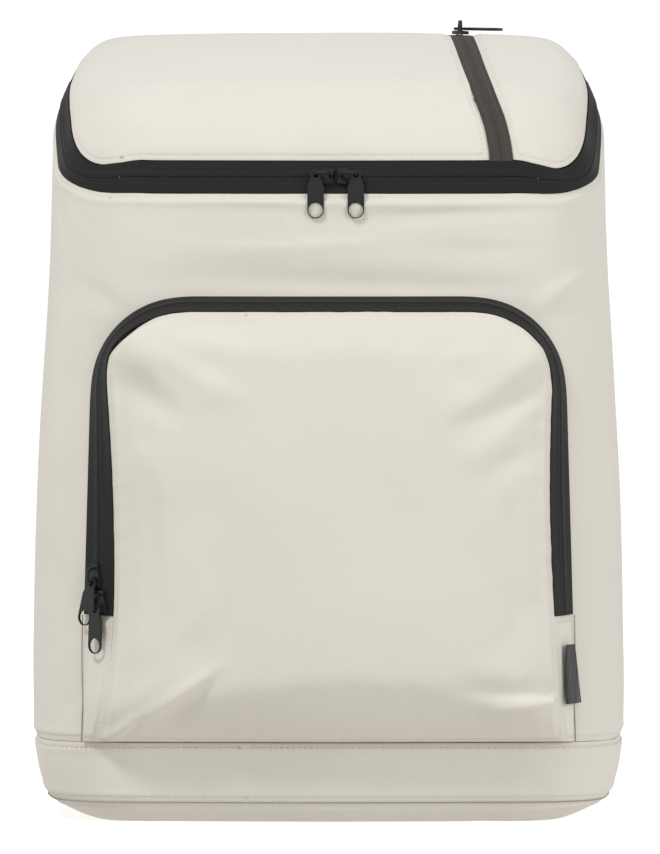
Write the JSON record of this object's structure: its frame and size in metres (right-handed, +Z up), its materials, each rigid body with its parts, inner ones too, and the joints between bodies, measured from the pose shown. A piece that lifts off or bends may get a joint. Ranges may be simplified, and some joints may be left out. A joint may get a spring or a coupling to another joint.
{
  "type": "cooler backpack",
  "caption": "Soft insulated cooler backpack in plain cream fabric with a sloping zipped lid, an arched zipped front pocket and padded shoulder straps.",
  "frame": {"origin": "middle of the part's extents in plan, on the plane it stands on", "axes": "+Z up, the front with the pocket faces -Y, +X to the right as the front is seen"},
  "size_m": [0.3304, 0.2516, 0.4433],
  "materials": {
    "fabric_cream": "matt plain weave, padded",
    "zip_tape": "matt black zip tape",
    "webbing_black": "matt black webbing",
    "black_metal": "satin black",
    "black_plastic": "matt"
  },
  "bodies": {
    "root": {"front_and_sides": "fabric_cream", "back_panel": "fabric_cream", "base_band": "fabric_cream", "base_tray": "fabric_cream", "lid_panel": "fabric_cream", "lid_hinge": "fabric_cream", "lid_zip_tape": "zip_tape", "lid_slider": "black_metal", "lid_puller": "black_metal", "main_zip_tape_lower": "zip_tape", "main_zip_tape_upper": "zip_tape", "main_left_slider": "black_metal", "main_left_puller": "black_metal", "main_right_slider": "black_metal", "main_right_puller": "black_metal", "pocket_panel": "fabric_cream", "pocket_gusset_left": "fabric_cream", "pocket_gusset_right": "fabric_cream", "pocket_zip_tape_outer": "zip_tape", "pocket_zip_tape_inner": "zip_tape", "pocket_upper_slider": "black_metal", "pocket_upper_puller": "black_metal", "pocket_lower_slider": "black_metal", "pocket_lower_puller": "black_metal", "side_tag": "webbing_black", "strap_yoke": "fabric_cream", "haul_loop": "webbing_black", "shoulder_strap_right": "fabric_cream", "shoulder_strap_left": "fabric_cream", "strap_tab_right": "webbing_black", "strap_tab_left": "webbing_black", "ladder_lock_right": "black_plastic", "ladder_lock_left": "black_plastic", "lower_webbing_right": "webbing_black", "lower_webbing_left": "webbing_black", "webbing_anchor_right": "webbing_black", "webbing_anchor_left": "webbing_black"}
  },
  "joints": []
}
